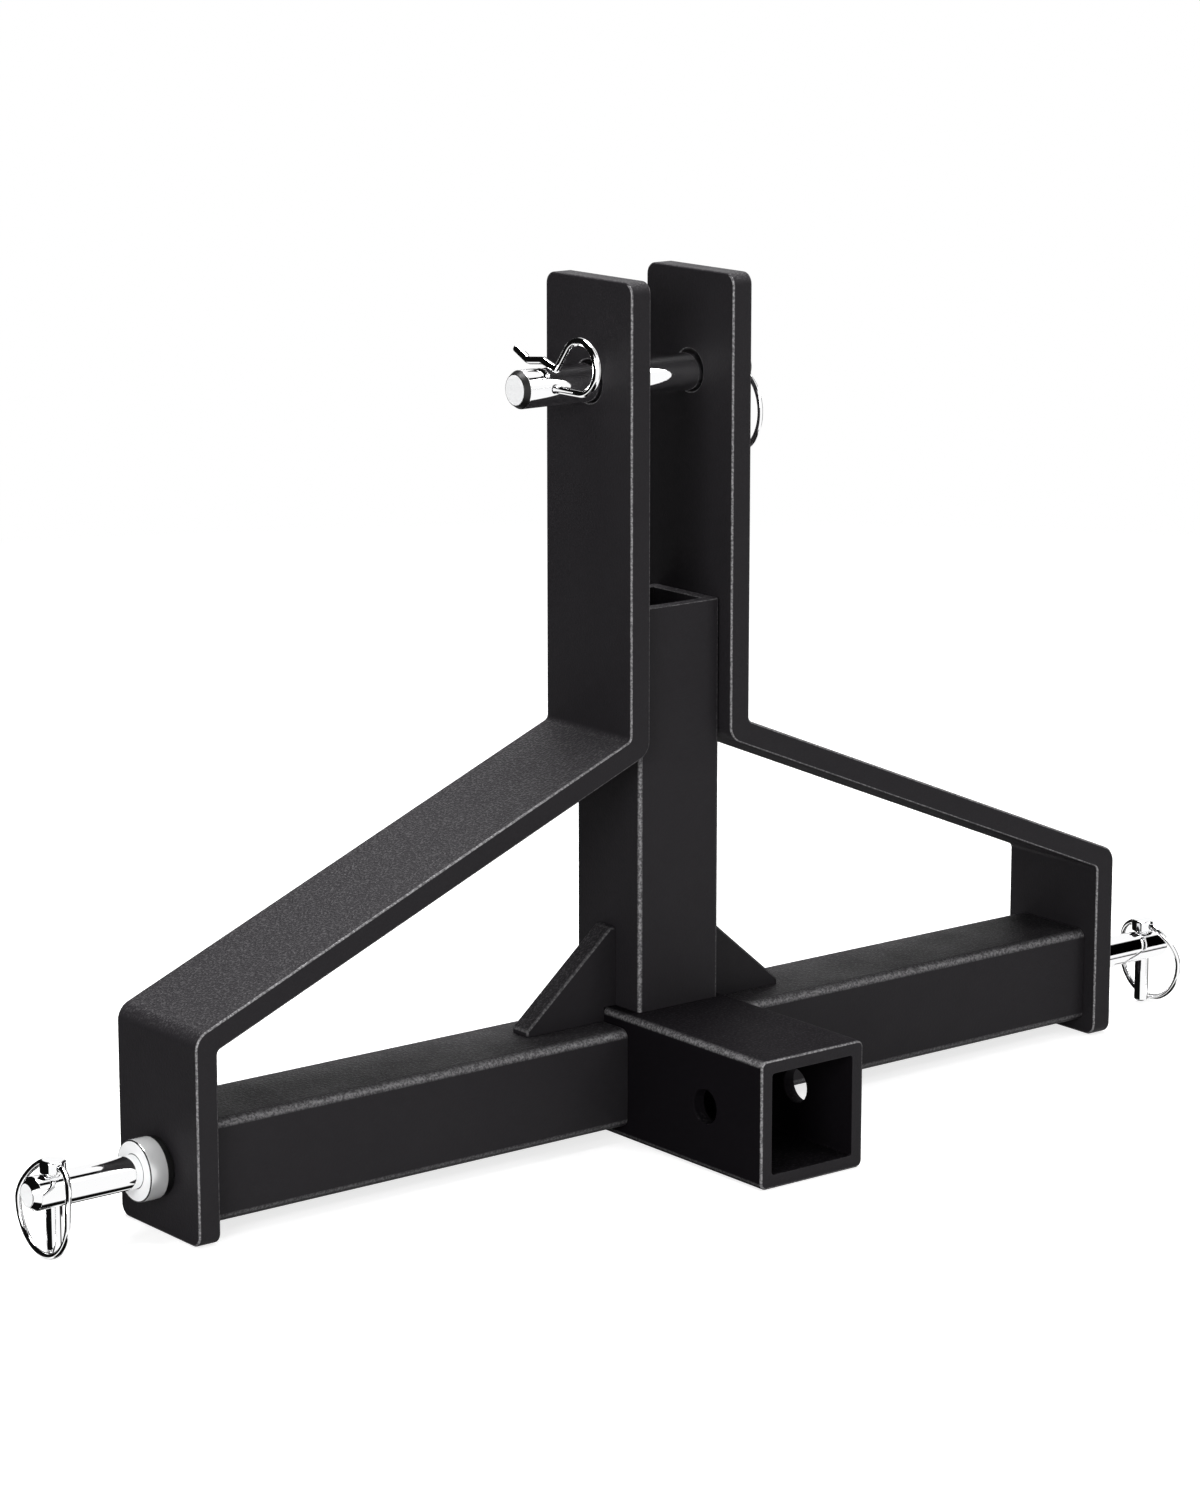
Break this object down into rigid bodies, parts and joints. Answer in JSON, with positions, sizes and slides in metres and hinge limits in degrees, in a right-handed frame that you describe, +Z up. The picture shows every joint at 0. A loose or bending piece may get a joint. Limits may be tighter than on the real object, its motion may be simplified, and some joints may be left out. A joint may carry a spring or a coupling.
{
  "type": "three-point receiver hitch",
  "caption": "Tractor three-point hitch frame with a square receiver tube, lower link pins with lynch pins, and a removable top link pin.",
  "frame": {"origin": "on the ground under the hitch, in the middle of its outline seen from above", "axes": "+X across the tractor along the lower link pins, -Y out of the receiver's mouth, +Z up"},
  "size_m": [0.733, 0.163, 0.4325],
  "materials": {
    "frame_paint": "fine textured black powder coat",
    "bright_zinc": "polished bright plating",
    "satin_zinc": "satin zinc plating",
    "black_oxide": "black oxide"
  },
  "bodies": {
    "frame": {"receiver_tube": "frame_paint", "mast_tube": "frame_paint", "left_cross_tube": "frame_paint", "right_cross_tube": "frame_paint", "left_side_plate": "frame_paint", "right_side_plate": "frame_paint", "left_gusset": "frame_paint", "right_gusset": "frame_paint", "left_lower_pin": "bright_zinc", "right_lower_pin": "bright_zinc", "left_pin_collar": "satin_zinc", "right_pin_collar": "satin_zinc", "left_lock_washer": "black_oxide", "right_lock_washer": "black_oxide", "left_pin_nut": "black_oxide", "right_pin_nut": "black_oxide"},
    "left_lynch_pin": {"left_lynch_pin": "bright_zinc"},
    "left_lynch_ring": {"left_lynch_ring": "bright_zinc"},
    "right_lynch_pin": {"right_lynch_pin": "bright_zinc"},
    "right_lynch_ring": {"right_lynch_ring": "bright_zinc"},
    "top_link_pin": {"top_link_pin": "bright_zinc"},
    "r_clip": {"r_clip": "bright_zinc"},
    "pull_ring": {"pull_ring": "bright_zinc"}
  },
  "joints": [
    {"name": "left_lynch_pin_lift", "type": "slide", "parent": "frame", "child": "left_lynch_pin", "axis": [0, 0, 1], "range_m": [0, 0.019]},
    {"name": "right_lynch_pin_lift", "type": "slide", "parent": "frame", "child": "right_lynch_pin", "axis": [0, 0, 1], "range_m": [0, 0.019]},
    {"name": "left_lynch_ring_swing", "type": "hinge", "parent": "left_lynch_pin", "child": "left_lynch_ring", "pos_m": [-0.352, 0.0475, 0.04415], "axis": [0, 1, 0], "range_deg": [0, 170]},
    {"name": "right_lynch_ring_swing", "type": "hinge", "parent": "right_lynch_pin", "child": "right_lynch_ring", "pos_m": [0.352, 0.0475, 0.04415], "axis": [0, -1, 0], "range_deg": [0, 170]},
    {"name": "top_link_pin_slide", "type": "slide", "parent": "frame", "child": "top_link_pin", "axis": [-1, 0, 0], "range_m": [-0.025, 0.014]},
    {"name": "r_clip_draw", "type": "slide", "parent": "top_link_pin", "child": "r_clip", "axis": [0, -1, 0], "range_m": [0, 0.06]},
    {"name": "pull_ring_swing", "type": "hinge", "parent": "top_link_pin", "child": "pull_ring", "pos_m": [0.0536, 0.0475, 0.38122], "axis": [0, -1, 0], "range_deg": [-17, 163]}
  ]
}
